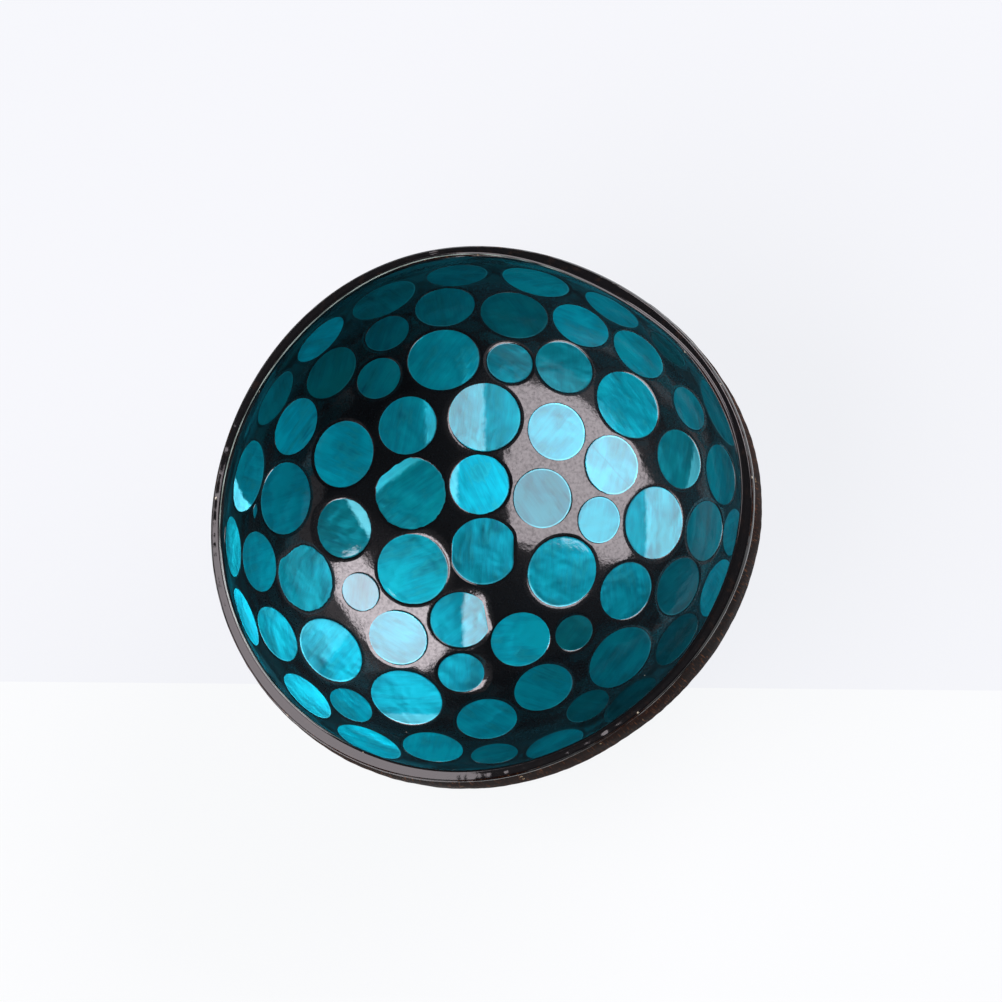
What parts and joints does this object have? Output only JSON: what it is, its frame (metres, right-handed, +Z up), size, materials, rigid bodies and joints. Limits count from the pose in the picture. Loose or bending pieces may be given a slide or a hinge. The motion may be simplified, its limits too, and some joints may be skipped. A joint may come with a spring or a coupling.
{
  "type": "coconut shell bowl",
  "caption": "Round deep bowl sawn from a coconut shell, black lacquered inside and inlaid with teal mother-of-pearl discs, on a sanded flat base.",
  "frame": {"origin": "middle of the sanded base, on the surface that the bowl stands on", "axes": "+Z up along the nut's axis, out of the bowl's mouth. The rim is level, in a plane square to Z. +X and +Y are free on a round bowl."},
  "size_m": [0.1315, 0.1295, 0.0645],
  "materials": {
    "shell": "polished dark brown coconut shell, faintly fibrous",
    "lacquer": "black lacquer under a clear gloss coat",
    "pearl": "teal-dyed mother-of-pearl under a clear gloss coat"
  },
  "bodies": {
    "root": {"coconut_shell": "shell", "ground_lacquer": "lacquer", "floor_disc_01": "pearl", "floor_disc_02": "pearl", "floor_disc_03": "pearl", "floor_disc_04": "pearl", "floor_disc_05": "pearl", "floor_disc_06": "pearl", "floor_disc_07": "pearl", "floor_disc_08": "pearl", "floor_disc_09": "pearl", "floor_disc_10": "pearl", "floor_disc_11": "pearl", "floor_disc_12": "pearl", "floor_disc_13": "pearl", "low_wall_disc_01": "pearl", "low_wall_disc_02": "pearl", "low_wall_disc_03": "pearl", "low_wall_disc_04": "pearl", "low_wall_disc_05": "pearl", "low_wall_disc_06": "pearl", "low_wall_disc_07": "pearl", "low_wall_disc_08": "pearl", "low_wall_disc_09": "pearl", "low_wall_disc_10": "pearl", "low_wall_disc_11": "pearl", "low_wall_disc_12": "pearl", "low_wall_disc_13": "pearl", "low_wall_disc_14": "pearl", "low_wall_disc_15": "pearl", "low_wall_disc_16": "pearl", "high_wall_disc_01": "pearl", "high_wall_disc_02": "pearl", "high_wall_disc_03": "pearl", "high_wall_disc_04": "pearl", "high_wall_disc_05": "pearl", "high_wall_disc_06": "pearl", "high_wall_disc_07": "pearl", "high_wall_disc_08": "pearl", "high_wall_disc_09": "pearl", "high_wall_disc_10": "pearl", "high_wall_disc_11": "pearl", "high_wall_disc_12": "pearl", "high_wall_disc_13": "pearl", "high_wall_disc_14": "pearl", "high_wall_disc_15": "pearl", "high_wall_disc_16": "pearl", "high_wall_disc_17": "pearl", "high_wall_disc_18": "pearl", "high_wall_disc_19": "pearl", "rim_discs_right": "pearl", "rim_discs_back": "pearl", "rim_discs_left": "pearl", "rim_discs_front": "pearl", "pearl_chip": "pearl"}
  },
  "joints": []
}
